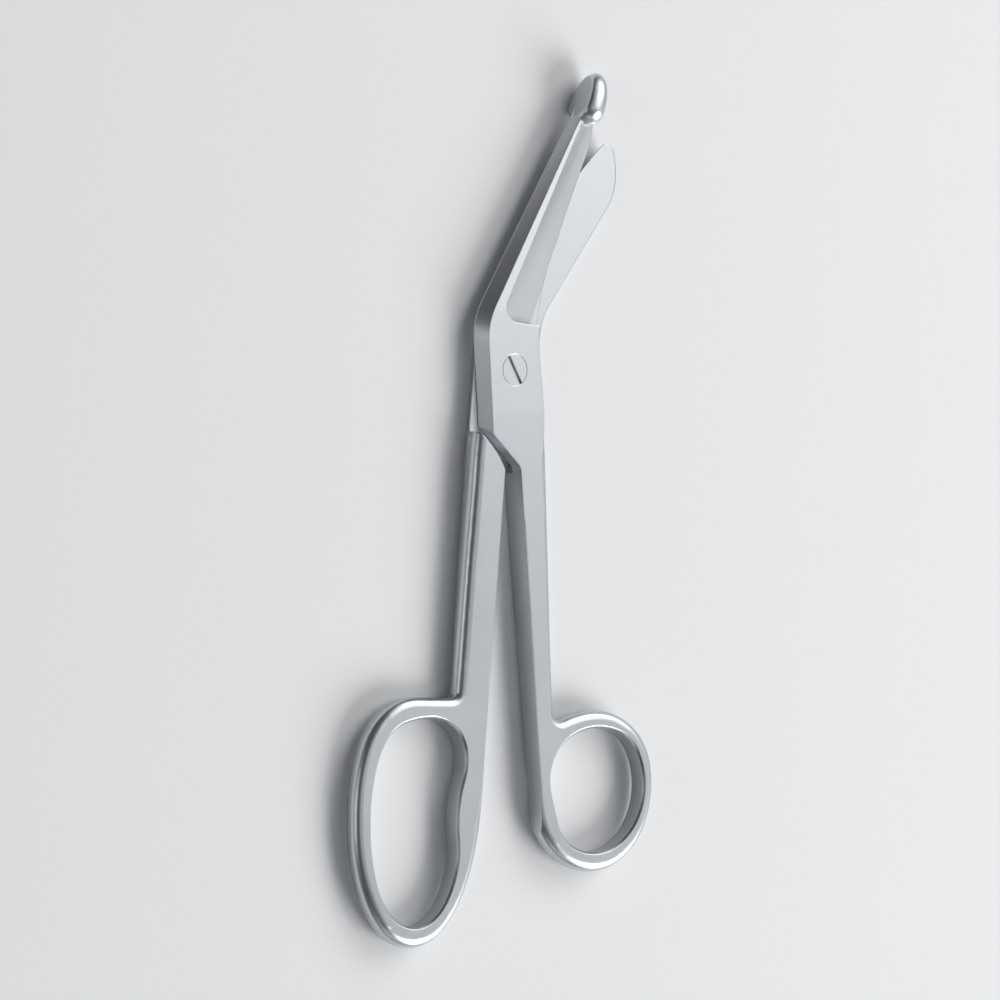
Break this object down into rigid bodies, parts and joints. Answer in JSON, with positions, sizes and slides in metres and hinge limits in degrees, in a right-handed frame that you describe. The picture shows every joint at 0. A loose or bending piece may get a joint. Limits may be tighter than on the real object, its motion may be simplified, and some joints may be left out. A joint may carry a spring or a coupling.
{
  "type": "bandage_scissors",
  "caption": "Bandage scissors of satin stainless steel: angled blades, rounded probe end, slotted pivot screw, thumb ring and long finger ring.",
  "frame": {"origin": "pivot axis at the flat back of the rear lap, on which the scissors lie", "axes": "+Y towards the blade tips, +X to the side of the thumb ring, +Z out of the front, where the screw head is"},
  "size_m": [0.0892, 0.1998, 0.0087],
  "materials": {
    "arm_steel": "satin",
    "screw_steel": "satin"
  },
  "bodies": {
    "rear": {"rear_arm": "arm_steel", "pivot_screw": "screw_steel"},
    "front": {"probe_arm": "arm_steel"}
  },
  "joints": [
    {"name": "pivot", "type": "hinge", "parent": "rear", "child": "front", "pos_m": [0, 0, 0.00323], "axis": [0, 0, 1], "range_deg": [-10, 50]}
  ]
}
